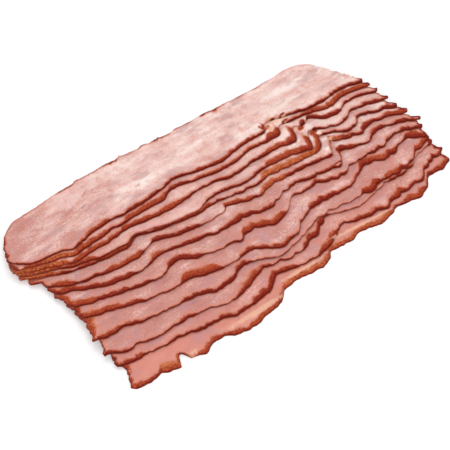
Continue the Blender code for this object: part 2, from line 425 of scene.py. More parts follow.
@dataclass(frozen=True)
class Stretch:
    """A stretch of a front edge with a crust of its own: from start to end, its width.

    A width below nothing is a torn stretch, where pale meat shows instead.
    """

    start: float
    end: float
    width: float
    crust: Crust = BROWN


STRETCHES: dict[int, tuple[Stretch, ...]] = by_rasher(Stretch, {
    1: (
        (-108, -101, 4.4, RUSSET), (-101, -91, 3), (-89, -77.5, 7, RUST), (-72, -66.5, 3.2, GOLD),
        (-65, -58, 4.4, RUST), (-57, -50, 4, RUSSET), (-48, -35, 3.5, RUSSET), (-33, -5, 4.2, RUST),
        (-2, 33, 4.4, AMBER), (36, 86, 4.2, AMBER), (97, 112, 5, RUSSET), (112, 122, 3.2, MAROON),
        (126, 139, 4.2),
    ),
    2: (
        (-105, -91, 3.4), (-91, -75, 1.4), (-75, -60, 2.2), (-48, -24, 2.8), (-22, 0, 4.8, MAROON),
        (2, 14, 3), (14, 29, 1.4, RUSSET), (30, 48, 4.6), (50, 62, 1.8), (62, 94, 3.4), (94, 102, 5.2),
        (102, 112, 2.8, RUSSET), (114, 123, 3.6), (124, 134, 3.4, MAROON), (135, 141, 3, RUSSET),
    ),
    3: (
        (-106, -94, 2.4), (-94, -64, 1.6), (-62, -54, 2.8, RUSSET), (-54, -30, 1.2), (-26, -2, 4),
        (2, 24, 1.4, RUSSET), (25, 49, 4.6, MAROON), (51, 98, 0.9), (99, 117, 2.4, RUSSET),
        (118, 136, 0.4),
    ),
    4: (
        (-106, -94, 3.4, RUSSET), (-93, -82, 2.6), (-82, -56, 1.6), (-53, -14, 3.2, MAROON),
        (-8, 78, 0.9), (77, 90, 5.6, MAROON), (91, 96, 2, MAROON), (97, 105, 4.6, RUST),
        (105, 113, 4.4, MAROON), (114, 123, 2.4, MAROON), (125, 140, 4.6, RUSSET),
    ),
    5: (
        (-105, -84, 4.6, RUSSET), (-84, -73, 3), (-73, -48, 1.4), (-48, -26, 6), (-24, -13, 0.8),
        (-10, 22, 3.2), (24, 42, 1.8, MAROON), (44, 64, 4, MAROON), (64, 82, 2.4, RUSSET),
        (87, 97, 5.5, MAROON), (97, 106, 4.8, RUST), (106, 116, 5, MAROON), (118, 124, 1.6),
        (126, 137, 5.5, MAROON),
    ),
    6: (
        (-107, -93, 5, RUSSET), (-92, -76, 3.9, MAROON), (-75, -64, 2.6, MAROON), (-63, -50, 1.4),
        (-48, -30, 4.2, MAROON), (-28, -14, 0.8), (-12, -4, 1.7, MAROON), (-1, 28, 4.8), (29, 41, 0.8),
        (41, 56, 1.8), (56, 77, 3), (78, 96, 1.2), (108, 120, 2.3, MAROON), (126, 142, 3.4, MAROON),
    ),
    7: (
        (-107, -94, 4.4), (-92, -67, 4, MAROON), (-66, -56, 1.2), (-54, -46, 3.8, RUST),
        (-45, -14, 3.1, MAROON), (-13, -6, 2.4), (-4, 14, 4.5, MAROON), (15, 26, 3), (28, 42, 1.2),
        (44, 74, 2.6), (75, 84, 2.4, MAROON), (86, 94, 4, MAROON), (96, 106, 1.6),
        (107, 121, 3.6, MAROON), (121, 127, 1.8), (127, 141, 3, MAROON),
    ),
    8: (
        (-111, -106, 2), (-106, -97, 4.6, RUSSET), (-78, -54, 4.1, RUSSET), (-53, -45, 0.7),
        (-44, -18, 3.5, MAROON), (-16, 3, 0.5), (5, 21, 3.4, RUSSET), (26, 46, 4.4, GOLD),
        (47, 60, 3.2, MAROON), (60, 79, 2.8, MAROON), (80, 86, 1.8, MAROON), (87, 93, 4.4, GOLD),
        (93, 101, 4.2, MAROON), (107, 118, 3.9, MAROON), (118, 126, 2.6), (126, 141, 3.9),
    ),
    9: (
        (-113, -100, 3.4, GOLD), (-88, -54, 3.6, RUSSET), (-51, -29, 2.6, MAROON),
        (-28, -3, 3.4, RUSSET), (17, 31, 2), (34, 74, 5.6, GOLD), (74, 83, 5.2), (83.5, 87, 0.2),
        (87, 96, 1.8, MAROON), (110, 128, 1.9, MAROON), (129, 139, 3.6, MAROON),
    ),
    10: (
        (-117, -96, 4.2, GOLD), (-96, -78, 3.4, RUSSET), (-76, -56, 1.4, RUSSET),
        (-54, -6, 0.4, RUSSET), (0, 30, 2.2), (42, 66, 5.2, RUSSET), (66, 77, 6, MAROON),
        (77.5, 86, -1), (88, 101, 1.3, MAROON), (108, 121, 1.8, MAROON), (123, 138, 3.4, MAROON),
    ),
    11: (
        (-119, -92, 5, GOLD), (-90, -60, 4.2, RUSSET), (-60, -32, 3.7), (-31, -14, 4.6, RUSSET),
        (-13, -8, 3.2), (0, 36, 2.2), (50, 62, 4.2, RUST), (62, 74, 5.8, MAROON), (74.5, 86, -1),
        (88, 106, 3.4, MAROON), (118, 138, 2.8, MAROON),
    ),
    12: (
        (-121, -113, 0.8, GOLD), (-112, -86, 4.9, GOLD), (-86, -62, 4.2, RUSSET), (-61, -51, 2.8),
        (-49, -20, 4.6, RUSSET), (0, 52, 2.6, RUSSET), (55, 67.5, 6, MAROON), (68, 75, -1, GOLD),
        (76, 90, 2.4), (90, 136, 4.2, RUSSET),
    ),
    13: (
        (-119, -84, 1.4), (-82, -58, 3.2, RUSSET), (-56, -46, 1.6), (-45, -20, 3.2, MAROON),
        (-19, 0, 2.4), (6, 52, 3), (62.5, 66, 0.2, GOLD), (66, 84, 1.6), (124, 134, 3, MAROON),
    ),
})


# Tones of the meat through the fan: numbers of some rashers, and the tone at each.
PALLOR = ((1, 3, 7, 9, 11, 12, 13), (0.1, -0.05, 0.2, 0.5, 0.8, 0.95, 1.0))
SALMON = ((1, 2, 3, 8, 11, 12, 13), (0.75, 0.3, 0.0, 0.0, 0.3, 0.3, 0.0))

# The left end's rind: its width in millimetres and how it is browned, from rasher 1 to rasher 13.
LEFT_RINDS = (
    (3.2, BROWN), (3, MAROON), (3, BROWN), (5.6, RUSSET), (3.6, BROWN), (4.4, RUSSET), (3.8, BROWN),
    (3.2, RUSSET), (4.4, GOLD), (5, GOLD), (5, GOLD), (2.4, BROWN), (2.7, MAROON),
)


@dataclass(frozen=True)
class CrustBand:
    """The crust along a front edge, worked out from its stretches."""

    thin_width: float = 2.5
    fade: float = 3.0
    base_weight: float = 0.25
    base_char: float = 0.85
    fade_share: float = 0.3

    def along(self, rasher: int, x: Array) -> tuple[Array, Array, Array]:
        """Width, char and gold of the crust at x.

        Args:
            rasher: Number of the slice.
            x: Places along its front edge.

        Returns:
            The width is the thin line's, brought to each stretch's under a window that fades over
            a few millimetres. Char and gold are means weighted by those windows.
        """
        width = self.thin_width + ripples(x, Seed.BAND + rasher, BAND_RIPPLES)
        weight = np.full(x.shape, self.base_weight)
        char = self.base_weight * self.base_char * np.ones(x.shape)
        gold = np.zeros(x.shape)
        for piece in STRETCHES.get(rasher, ()):
            fade = min(self.fade, self.fade_share * (piece.end - piece.start))
            window = smooth_step(piece.start - fade, piece.start + fade, x)
            window = window * smooth_step(piece.end + fade, piece.end - fade, x)
            width = width + (piece.width - width) * window
            weight = weight + window
            char = char + window * piece.crust.value[0]
            gold = gold + window * piece.crust.value[1]
        return width, char / weight, gold / weight


@dataclass(frozen=True)
class Rinds:
    """The crust along a slice's ends and back.

    The right end's is a width and how much more it has at the tip. Ripples are a strength and a
    length.
    """

    lowest_rashers: int = 4
    right_lowest: tuple[float, float] = (2.8, 2.4)
    right_middle: tuple[float, float] = (2.0, 1.6)
    right_top: tuple[float, float] = (0.4, 3.0)
    tip_reach: float = 5.0
    back: float = 1.7
    back_thinning: float = 1.1
    thinning_ramp: tuple[float, float] = (60.0, 100.0)
    left_ripple: tuple[float, float] = (0.35, 5.0)
    right_ripple: tuple[float, float] = (0.6, 2.5)
    back_ripple: tuple[float, float] = (0.9, 7.0)

    def widths(self, rasher: int, x: Array, y: Array, ahead: Array) -> tuple[Array, Array, Array]:
        """Widths of the crust along the left end, the right end and the back.

        Args:
            rasher: Number of the slice.
            x: Places along it.
            y: Places across it.
            ahead: Distances behind its front edge, near which the right end's crust is wider.

        Returns:
            The three widths, with ripples of their own.
        """
        right, at_tip = self.right_lowest if rasher <= self.lowest_rashers else self.right_middle
        back = self.back
        if rasher == RASHER_COUNT:
            right, at_tip = self.right_top
            back = back - self.back_thinning * smooth_step(*self.thinning_ramp, x)
        left_ripple, right_ripple, back_ripple = (
            strength * ripple(place, length, seed + rasher)
            for place, (strength, length), seed in (
                (y, self.left_ripple, Seed.LEFT_RIND),
                (y, self.right_ripple, Seed.RIGHT_RIND),
                (x, self.back_ripple, Seed.BACK_RIND),
            )
        )
        left = LEFT_RINDS[rasher - 1][0] * (1.0 + left_ripple)
        right = right + at_tip * np.exp(-((np.clip(ahead, 0.0, None) / self.tip_reach) ** 2))
        return left, right + right_ripple, back + back_ripple


# ---- Meshes ----


@dataclass(frozen=True)
class Sheet:
    """Arrays of one face of a slice, indexed along it and across it."""

    x: Array
    y: Array
    z: Array

    def flat(self) -> Array:
        """The points as rows."""
        return np.stack([self.x.ravel(), self.y.ravel(), self.z.ravel()], axis=1)


def boundary_loop(along: int, across: int) -> Array:
    """Flat indices of a grid's edge, anticlockwise from above.

    Args:
        along: Points along the grid, the slow index.
        across: Points across it, the fast index.

    Returns:
        Front row rightwards, right side backwards, back row leftwards and left side forwards.
    """
    i, j = np.arange(along), np.arange(across)
    front = i * across
    right = (along - 1) * across + j[1:]
    back = i[-2::-1] * across + across - 1
    left = j[-2:0:-1]
    return np.concatenate([front, right, back, left])


def grid_quads(along: int, across: int) -> Array:
    """Quads of a grid, facing up."""
    i, j = np.meshgrid(np.arange(along - 1), np.arange(across - 1), indexing="ij")
    first = (i * across + j).ravel()
    return np.stack([first, first + across, first + across + 1, first + 1], axis=1)


def new_mesh(name: str, points: Array, quads: Array) -> bpy.types.Mesh:
    """A smooth mesh from points in millimetres and quads.

    Args:
        name: Name of the mesh.
        points: Rows of x, y and z.
        quads: Rows of four indices, facing outwards.

    Returns:
        The mesh, in metres.
    """
    mesh = bpy.data.meshes.new(name)
    mesh.vertices.add(len(points))
    mesh.vertices.foreach_set("co", (points * MM).astype(np.float32).ravel())
    mesh.loops.add(quads.size)
    mesh.loops.foreach_set("vertex_index", quads.astype(np.int32).ravel())
    mesh.polygons.add(len(quads))
    mesh.polygons.foreach_set("loop_start", np.arange(0, quads.size, 4, dtype=np.int32))
    mesh.polygons.foreach_set("use_smooth", np.ones(len(quads), dtype=bool))
    mesh.update(calc_edges=True)
    mesh.validate()
    return mesh


def add_attribute(mesh: bpy.types.Mesh, name: str, values: Array) -> None:
    """Store one number, or one vector if values has three columns, at each point of a mesh."""
    vector = values.ndim == 2
    kind = "FLOAT_VECTOR" if vector else "FLOAT"
    attribute = mesh.attributes.new(name, kind, "POINT")
    attribute.data.foreach_set("vector" if vector else "value", values.astype(np.float32).ravel())


def add_piece(name: str, mesh: bpy.types.Mesh, material: bpy.types.Material) -> bpy.types.Object:
    """Link an object for a mesh, with its material."""
    piece = bpy.data.objects.new(name, mesh)
    piece.data.materials.append(material)
    bpy.context.scene.collection.objects.link(piece)
    return piece


# ---- One slice ----


@dataclass(frozen=True)
class Oval:
    """An oval on a face: its middle, half length, half width and turn in degrees."""

    x: float
    y: float
    length: float
    width: float
    turn: float

    def shares(self, x: Array, y: Array) -> tuple[Array, Array]:
        """Places along and across the turned oval, as shares of its half length and half width."""
        turn = math.radians(self.turn)
        along = (x - self.x) * math.cos(turn) + (y - self.y) * math.sin(turn)
        across = (y - self.y) * math.cos(turn) - (x - self.x) * math.sin(turn)
        return along / self.length, across / self.width


@dataclass(frozen=True)
class Crease(Oval):
    """A short line on a slice's face. A negative colour makes the meat paler."""

    colour: float
    depth: float = 0.15

    def at(self, x: Array, y: Array) -> Array:
        """1 on the line and 0 away from it, exp(-u^4 - v^2) of the shares."""
        along, across = self.shares(x, y)
        return np.exp(-(along**4) - across**2)


CREASES: dict[int, tuple[Crease, ...]] = by_rasher(Crease, {
    7: ((92, 1, 6, 2.4, 20, -0.8, -0.2),),
    8: ((82.5, 5, 5.5, 3.2, 55, -1.3, -0.9), (92, 10, 6, 2, 20, -0.7, -0.1)),
    9: ((72, 10.5, 5, 2, 40, -0.9, 0), (82.5, 14, 5, 2.8, 45, -1.1, -0.8)),
    10: (
        (65, 15, 8, 2.4, 38, -1.6, -0.1), (81, 22.2, 5, 3, 50, -1.4, -1.1),
        (96, 25, 6, 2, 30, -0.7, 0),
    ),
    11: (
        (61, 24, 8, 2.6, 30, -1.6, -0.1), (72.6, 30, 4.5, 2.8, 35, -1.3, -1),
        (95, 33, 8, 2.2, 25, -0.7, 0),
    ),
    12: ((58, 33.5, 5, 1.8, 20, -1.2, -0.1), (68.5, 37.8, 5, 2.2, 8, -1.4, -0.9)),
    13: (
        (-61.5, 58, 2.2, 0.7, 10, 0.55), (-55, 67.5, 3.4, 0.6, 32, 0.5),
        (-30, 51, 15, 5.5, 12, -0.9, -0.1), (-95, 47, 14, 4, 8, -0.45, 0),
        (36, 45, 2, 1.6, 40, -0.5, -0.35), (93, 45.5, 8, 1.1, 6, 0.22), (58, 70, 1.2, 1.2, 0, 0.35),
        (20, 56, 20, 1.6, 5, -0.5, -0.05), (95, 60, 14, 2.6, 3, -0.6, -0.05),
    ),
})


@dataclass(frozen=True)
class Patch(Oval):
    """An oval that stands up from the face by its rise."""

    rise: float = 0.7

    def at(self, x: Array, y: Array) -> Array:
        """1 in the middle, 0 on the oval and below nothing outside it, 1 - u^2 - v^2."""
        along, across = self.shares(x, y)
        return 1.0 - along**2 - across**2


CHARRED_PATCHES = tuple(Patch(*row) for row in (
    (58.3, 38.6, 0.9, 2.4, 0), (60.4, 36.9, 2.6, 1, 20), (62.8, 37.6, 2, 1.2, 30),
    (74.6, 35, 2.6, 1.1, 10), (76.2, 39.6, 2.2, 0.8, 10), (82.2, 27.3, 3, 1.8, 45),
    (79.4, 24.8, 2.4, 1.9, 40), (83.8, 17.4, 3, 1.7, 20), (87, -3.4, 3.4, 2.2, 15),
    (77, -12.6, 3.2, 0.8, 0, 0.3),
))
FAT_PATCHES = tuple(Patch(*row) for row in (
    (66.4, 42.6, 3.8, 1.7, 18), (69, 38.4, 4.8, 1.9, 8), (63.4, 34, 2.8, 1.6, 30),
    (74.6, 37.4, 2.8, 1.1, 10), (76, 26.6, 3, 1.6, 30), (88.2, 6.8, 2.4, 1.6, 30),
    (-69, -60, 3.4, 1.9, 6), (-25, -60.4, 20, 1.9, -2, 0.3), (14, -53.6, 16, 1.3, -3, 0.3),
    (62, -50.4, 22, 1.2, -6, 0.3),
))


def patch_depth(patches: tuple[Patch, ...], x: Array, y: Array) -> Array:
    """The greatest of the patches' depths, with a ragged outline, and -1 far from them all."""
    ragged = 0.5 * value_noise(x / 1.3, y / 1.3, Seed.PATCHES)
    depth = np.full(x.shape, -1.0)
    for patch in patches:
        depth = np.maximum(depth, patch.at(x, y) + ragged)
    return depth


@dataclass(frozen=True)
class FineCreases:
    """Fine creases in the strip that shows of each slice, placed by the lattice's numbers."""

    count: int = 7
    middle: float = 20.0
    spread: float = 110.0
    first: tuple[float, float] = (2.5, 8.0)
    room: tuple[float, float] = (2.2, 14.0)
    length: float = 2.2
    width: float = 0.35
    turn: tuple[float, float] = (35.0, 40.0)
    colour: tuple[float, float] = (0.3, 0.15)
    depth: float = 0.12

    def on(self, rasher: int, layout: FanLayout) -> tuple[Crease, ...]:
        """The creases of one slice.

        Args:
            rasher: Number of the slice.
            layout: Where the slices lie.

        Returns:
            The creases. Of first and room, the second values are the top slice's.
        """
        top = int(rasher == RASHER_COUNT)
        creases = []
        for k in range(self.count):
            place, turn, size, share = (float(lattice(k, rasher, Seed.CREASES + j)) for j in range(4))
            x = self.middle + self.spread * place
            y = float(layout.front_edge(rasher, np.array(x))) + self.first[top]
            y = y + self.room[top] * (share + 1.0)
            degrees = self.turn[0] + self.turn[1] * turn
            colour = self.colour[0] + self.colour[1] * size
            creases.append(Crease(x, y, self.length + size, self.width, degrees, colour, self.depth))
        return tuple(creases)


@dataclass(frozen=True)
class Lobes:
    """Round lobes with sharp notches between them, on the right of the middle slices."""

    rashers: range = range(2, 11)
    height: float = 1.7
    length: float = 9.5
    shift: float = 0.37
    ramp: tuple[float, float] = (-25.0, 10.0)
    level: float = 0.6
    sharpness: float = 0.7

    def at(self, rasher: int, x: Array, seed: float) -> Array:
        """How far the lobes move a front edge.

        Args:
            rasher: Number of the slice.
            x: Places along it.
            seed: Picks the pattern.

        Returns:
            height * (level - |sin|^sharpness), with uneven spacing and strength.
        """
        phase = x / self.length + 0.6 * ripple(x, 20.0, seed + 3.0) + self.shift * rasher
        strength = 0.55 + 0.45 * ripple(x, 18.0, seed + 4.0)
        strength = self.height * strength * smooth_step(*self.ramp, x) * (rasher in self.rashers)
        return strength * (self.level - np.abs(np.sin(math.pi * phase)) ** self.sharpness)


@dataclass(frozen=True)
class Bite:
    """A narrow round notch in a front edge."""

    rasher: int = 1
    place: float = -75.2
    depth: float = 5.6
    half_width: float = 3.8
    upright_reach: float = 6.0

    def at(self, x: Array) -> Array:
        """How far the edge is cut back, one arch of a cosine: depth * cos(pi/2 * d / half width)."""
        across = np.clip((x - self.place) / self.half_width, -1.0, 1.0)
        return self.depth * np.cos(0.5 * math.pi * across)

    def away(self, x: Array) -> Array:
        """0 at the bite, where the edge stands upright, rising to 1 away from it."""
        return 1.0 - np.exp(-(((x - self.place) / self.upright_reach) ** 4))


@dataclass(frozen=True)
class SliceBuild:
    """Fineness of the slices' meshes, their thickness and the small sizes of their edges."""

    thickness: float = 1.72
    stations: int = 420
    rows: int = 52
    top_rows: int = 84
    front_share: float = 0.62
    front_depth: float = 15.0
    most_depth: float = 0.6
    rim_steps: int = 6
    end_crowding: float = 0.35
    lean_fade: float = 3.0
    round_corners: tuple[float, float] = (2.5, 4.0)
    tip_spike: float = 1.8
    tip_depth: float = 2.5
    tip_reach: float = 3.0
    slope_reach: float = 0.75
    back_inset: float = 0.2
    end_inset: float = 0.5
    ragged_reach: float = 4.0
    rise_share: float = 0.75
    slant_share: float = 0.6
    upright_width: float = 1.2
    slants: tuple[float, float] = (0.3, 2.4)
    cover_ramp: tuple[float, float] = (-2.5, 0.5)
    sink: float = 0.26
    sink_ripple: tuple[float, float] = (0.15, 13.0)
    sink_reach: float = 4.0
    # Width of the painted crevice shade in front of the next slice's edge.
    crevice_shade_width: float = 0.9


@dataclass
class Rasher:
    """One slice of cured turkey breast with its smoked front edge. Number 1 is the bottommost."""

    number: int
    layout: FanLayout
    build: SliceBuild
    band: CrustBand = CrustBand()
    bite: Bite = Bite()
    lobes: Lobes = Lobes()
    rinds: Rinds = Rinds()
    fine_creases: FineCreases = FineCreases()

    def __post_init__(self) -> None:
        """Look up what belongs to this slice."""
        self.left = self.layout.left_tips[self.number - 1]
        self.right = self.layout.right_tips[self.number - 1]
        self.rows = self.build.top_rows if self.number == RASHER_COUNT else self.build.rows
        fine = self.fine_creases.on(self.number, self.layout)
        self.creases = CREASES.get(self.number, ()) + fine

    def front(self, x: Array) -> Array:
        """Y of the front edge with its ripples, its lobes and its bite."""
        seed = SEED_STEP * self.number
        y = self.layout.front_edge(self.number, x) + ripples(x, seed, FRONT_RIPPLES)
        y = y + self.lobes.at(self.number, x, seed)
        return y + self.bite.at(x) if self.number == self.bite.rasher else y

    def lean(self, x: Array) -> tuple[Array, Array]:
        """Direction square to the front edge, in plan, from its slope: (-f', 1) / norm."""
        reach = self.build.slope_reach
        ahead = self.layout.front_edge(self.number, x + reach)
        slope = (ahead - self.layout.front_edge(self.number, x - reach)) / (2.0 * reach)
        norm = np.sqrt(1.0 + slope * slope)
        return -slope / norm, 1.0 / norm

    def plan(self, inset: bool) -> tuple[Array, Array]:
        """Places in plan of the grid of one face.

        Args:
            inset: True for the top face, which the slanted crust sets in from the underside.

        Returns:
            x and y. Rows stand close together behind the front edge and wider apart further back.
        """
        lay, build, number = self.layout, self.build, self.number
        corners = {1: build.round_corners[0], RASHER_COUNT: build.round_corners[1]}
        share = np.linspace(0.0, 1.0, build.stations)[:, None]
        crowded = 0.5 - 0.5 * np.cos(math.pi * share)
        along = (1.0 - build.end_crowding) * share + build.end_crowding * crowded
        front_x = self.left + (self.right - self.left) * along
        front_y = self.front(front_x)
        back_y = lay.back_edge(number, front_x)
        full = back_y - front_y
        back_y = lay.back_edge(number, lay.drawn_in(number, front_x, along, full, back_y))
        back_y = back_y + ripples(front_x, Seed.BACK + number, BACK_RIPPLES)
        back_y = back_y + self.tufts(front_x) * (1.0 + 0.8 * ripple(front_x, 1.3, 6.0))
        left_room, right_room = front_x - self.left, self.right - front_x
        front_y = front_y + rounded_off(left_room, corners.get(number, lay.front_corner))
        front_y = front_y + rounded_off(right_room, lay.front_corner)
        corner = np.minimum(lay.back_corner, lay.back_corner_share * full)
        back_y = back_y - rounded_off(np.minimum(left_room, right_room), corner)
        side, ahead = self.lean(front_x)
        if inset:
            front_y = front_y + self.slant(front_x) * ahead
            back_y = back_y - build.back_inset
        width = back_y - front_y
        row = np.linspace(0.0, 1.0, self.rows)[None, :]
        near = np.minimum(build.front_depth, build.most_depth * width)
        behind = (row - build.front_share) / (1.0 - build.front_share)
        depth = near * row / build.front_share
        depth = np.where(row < build.front_share, depth, near + (width - near) * behind)
        y = front_y + depth
        x = lay.drawn_in(number, front_x, along, depth * full / width, y)
        if inset:
            x = x + self.slant(front_x) * side * np.exp(-depth / build.lean_fade)
        spike = np.exp(-depth / build.tip_depth - (right_room / build.tip_reach) ** 2)
        x = x + build.tip_spike * spike
        ragged = ripples(y, Seed.ENDS + number, END_RIPPLES)
        for room, step in ((left_room, build.end_inset), (right_room, -build.end_inset)):
            x = x + (ragged + step * inset) * np.exp(-((room / build.ragged_reach) ** 2))
        return x, y

    def tufts(self, x: Array) -> Array:
        """How far the tufts stand out behind the top slice's back edge, and 0 on the others."""
        return sum(tuft.at(x) for tuft in TUFTS) if self.number == RASHER_COUNT else 0.0 * x

    def slant(self, x: Array) -> Array:
        """How far the crust leans in from the foot of the edge to its top."""
        build, width = self.build, self.band.along(self.number, x)[0]
        slant = np.clip(build.slant_share * (width - build.upright_width), *build.slants)
        return slant * self.bite.away(x) if self.number == self.bite.rasher else slant

    def covered(self, x: Array, y: Array) -> Array:
        """1 where the next slice lies on this one, and 0 where this one shows."""
        if self.number == RASHER_COUNT:
            return np.zeros(x.shape)
        behind = y - self.layout.front_edge(self.number + 1, x)
        return smooth_step(*self.build.cover_ramp, behind)

    def relief(self, x: Array, y: Array) -> Array:
        """Low swells of the face, with finer grain, pits, creases and patches.

        Args:
            x: Places along the slice.
            y: Places across it.

        Returns:
            Heights in millimetres, and none where the next slice lies.
        """
        seed = Seed.RELIEF + self.number
        relief = 0.2 * double_noise(x / 20.0, y / 9.0, seed)
        relief = relief + 0.05 * value_noise(x / 7.0, y / 1.8, seed + 5.0)
        relief = relief + 0.06 * value_noise(x / 2.6, y / 1.7, seed + 7.0)
        for crease in self.creases:
            relief = relief - crease.depth * crease.at(x, y)
        for patch in CHARRED_PATCHES + FAT_PATCHES:
            relief = relief + patch.rise * np.clip(patch.at(x, y), 0.0, None)
        return relief * (1.0 - self.covered(x, y))

    def lift(self, x: Array, y: Array) -> Array:
        """How far the front edge is lifted; it is below nothing, for it sinks onto the slice below."""
        if self.number == 1:
            return np.zeros(x.shape)
        strength, length = self.build.sink_ripple
        bumps = -self.build.sink + strength * ripple(x, length, Seed.SINK + self.number)
        near = np.exp(-np.clip(y - self.front(x), 0.0, None) / self.build.sink_reach)
        return bumps * near * (1.0 - self.covered(x, y))

    def sheets(self) -> tuple[Sheet, Sheet]:
        """The top face and the underside."""
        x, y = self.plan(True)
        z = self.layout.underside(self.number, x, y) + self.lift(x, y)
        top = Sheet(x, y, z + self.build.thickness + self.relief(x, y))
        x, y = self.plan(False)
        return top, Sheet(x, y, self.layout.underside(self.number, x, y) + self.lift(x, y))

    def shell(self, top: Sheet, under: Sheet) -> tuple[Array, Array, Array]:
        """The closed skin of the slice.

        Args:
            top: The top face.
            under: The underside.

        Returns:
            Points, quads, and each point's height share from 0 on the underside to 1 on top. The
            rim between the two faces is a quarter ellipse: it goes in as 1 - cos and up as sin.
        """
        along, across = top.x.shape
        loop = boundary_loop(along, across)
        high, low = top.flat(), under.flat()
        count, ring = len(high), len(loop)
        points, shares = [high, low], [np.ones(count), np.zeros(count)]
        rings = [loop + count]
        for step in range(1, self.build.rim_steps):
            angle = 0.5 * math.pi * step / self.build.rim_steps
            inward, upward = 1.0 - math.cos(angle), math.sin(angle)
            middle = low[loop] + (high[loop] - low[loop]) * np.array([inward, inward, upward])
            rings.append(2 * count + (step - 1) * ring + np.arange(ring))
            points.append(middle)
            shares.append(np.full(ring, upward))
        rings.append(loop)
        faces = grid_quads(along, across)
        quads = [faces, faces[:, ::-1] + count]
        for lower, upper in zip(rings[:-1], rings[1:]):
            after_low, after_high = np.roll(lower, -1), np.roll(upper, -1)
            quads.append(np.stack([lower, after_low, after_high, upper], axis=1))
        return np.concatenate(points), np.concatenate(quads), np.concatenate(shares)

    def crust_masks(self, points: Array, height: Array, under: Sheet) -> dict[str, Array]:
        """How each point lies to the crust.

        Args:
            points: Rows of x, y and z.
            height: Each point's height share.
            under: The underside, whose outline the ways in are measured from.

        Returns:
            into_crust is how deep in the crust a point lies, in millimetres and negative outside
            it: the crust's width less the way round from the foot of the edge, which is the plan
            distance plus three quarters of the height. from_foot is that way itself. char and gold
            are those of the edge that the point is deepest in.
        """
        x, y = points[:, 0], points[:, 1]
        rise = self.build.rise_share * self.build.thickness * height
        ways = (
            (y - self.front(x)) * self.lean(x)[1] + rise,
            x - np.interp(y, under.y[0], under.x[0]) + rise,
            np.interp(y, under.y[-1], under.x[-1]) - x + rise,
            np.interp(x, under.x[:, -1], under.y[:, -1]) - y + rise,
        )
        width, char, gold = self.band.along(self.number, x)
        left, right, back = self.rinds.widths(self.number, x, y, ways[0])
        widths = (width, left, right, back + self.tufts(x))
        depths = [edge_width - way for edge_width, way in zip(widths, ways)]
        deepest = np.argmax(depths, axis=0)
        for edge, crust in enumerate((LEFT_RINDS[self.number - 1][1], MAROON, MAROON), start=1):
            char = np.where(deepest == edge, crust.value[0], char)
            gold = np.where(deepest == edge, crust.value[1], gold)
        charred = patch_depth(CHARRED_PATCHES, x, y)
        wobble = 0.7 * value_noise(x / 3.5, y / 3.5, Seed.WOBBLE + self.number)
        wobble = wobble + 0.4 * value_noise(x / 1.4, y / 1.4, Seed.FINE_WOBBLE + self.number)
        into = np.maximum(np.max(depths, axis=0), 2.0 * charred)
        return {
            "into_crust": into + wobble * np.clip(0.35 * width, 0.5, 1.3),
            "from_foot": np.min(ways, axis=0),
            "char": np.where(charred > 0.0, 0.95, char),
            "gold": gold,
        }

    def pallor(self, x: Array, y: Array) -> Array:
        """How pale the meat is, with painted shade in front of the next slice.

        Args:
            x: Places along the slice.
            y: Places across it.

        Returns:
            From -1, rosy, to 1.5, creamy: palest on top and to the right, a little lighter over most
            of the strip and darker just in front of the next slice as painted shade, and with the pale
            creases added.
        """
        level = np.interp(self.number, *PALLOR)
        swell = 0.3 * double_noise(x / 24.0, y / 10.0, Seed.PALLOR + self.number)
        rightward = 0.2 * np.clip(x / 120.0, -1.0, 1.0)
        if 8 <= self.number < RASHER_COUNT:
            rightward = rightward + 0.35 * smooth_step(40.0, 80.0, x)
        pale = level + swell + rightward
        if self.number == RASHER_COUNT:
            pale = pale - 0.6 * smooth_step(-20.0, -100.0, x)
        else:
            # Painted shade: darker in the few millimetres in front of the next slice's edge, a little
            # lighter elsewhere.
            ahead = self.layout.front_edge(self.number + 1, x) - y
            pale = pale + 0.18 - 0.6 * np.exp(-np.clip(ahead, 0.0, None) / 3.0)
        for crease in self.creases:
            pale = pale - min(crease.colour, 0.0) * crease.at(x, y)
        return pale

    def seep(self, x: Array, y: Array) -> Array:
        """Painted shade along the foot of the next slice's edge, on this one's face: a red-brown line
        in the crevice.

        Args:
            x: Places along the slice.
            y: Places across it.

        Returns:
            From 0 to 0.9, strongest below the thickest crust.
        """
        if self.number == RASHER_COUNT:
            return np.zeros(x.shape)
        above = Rasher(self.number + 1, self.layout, self.build)
        ahead = (above.front(x) - y) * above.lean(x)[1]
        uneven = 0.3 * ripple(x, 2.2, Seed.SEEP + self.number)
        crusted = smooth_step(0.8, 2.4, above.band.along(above.number, x)[0])
        return (0.25 + 0.65 * crusted) * smooth_step(self.build.crevice_shade_width + uneven, 0.1, ahead)

    def stain(self, x: Array, y: Array) -> Array:
        """Brown in the face's creases, from 0 to 1."""
        stain = np.zeros(x.shape)
        for crease in self.creases:
            stain = np.maximum(stain, crease.colour * crease.at(x, y))
        return stain

    def salmon(self, x: Array) -> Array:
        """How orange the cure has left the meat, strongest in the lowest slice's left half."""
        level = np.interp(self.number, *SALMON)
        return level * (1.0 - 0.35 * smooth_step(-40.0, 60.0, x))

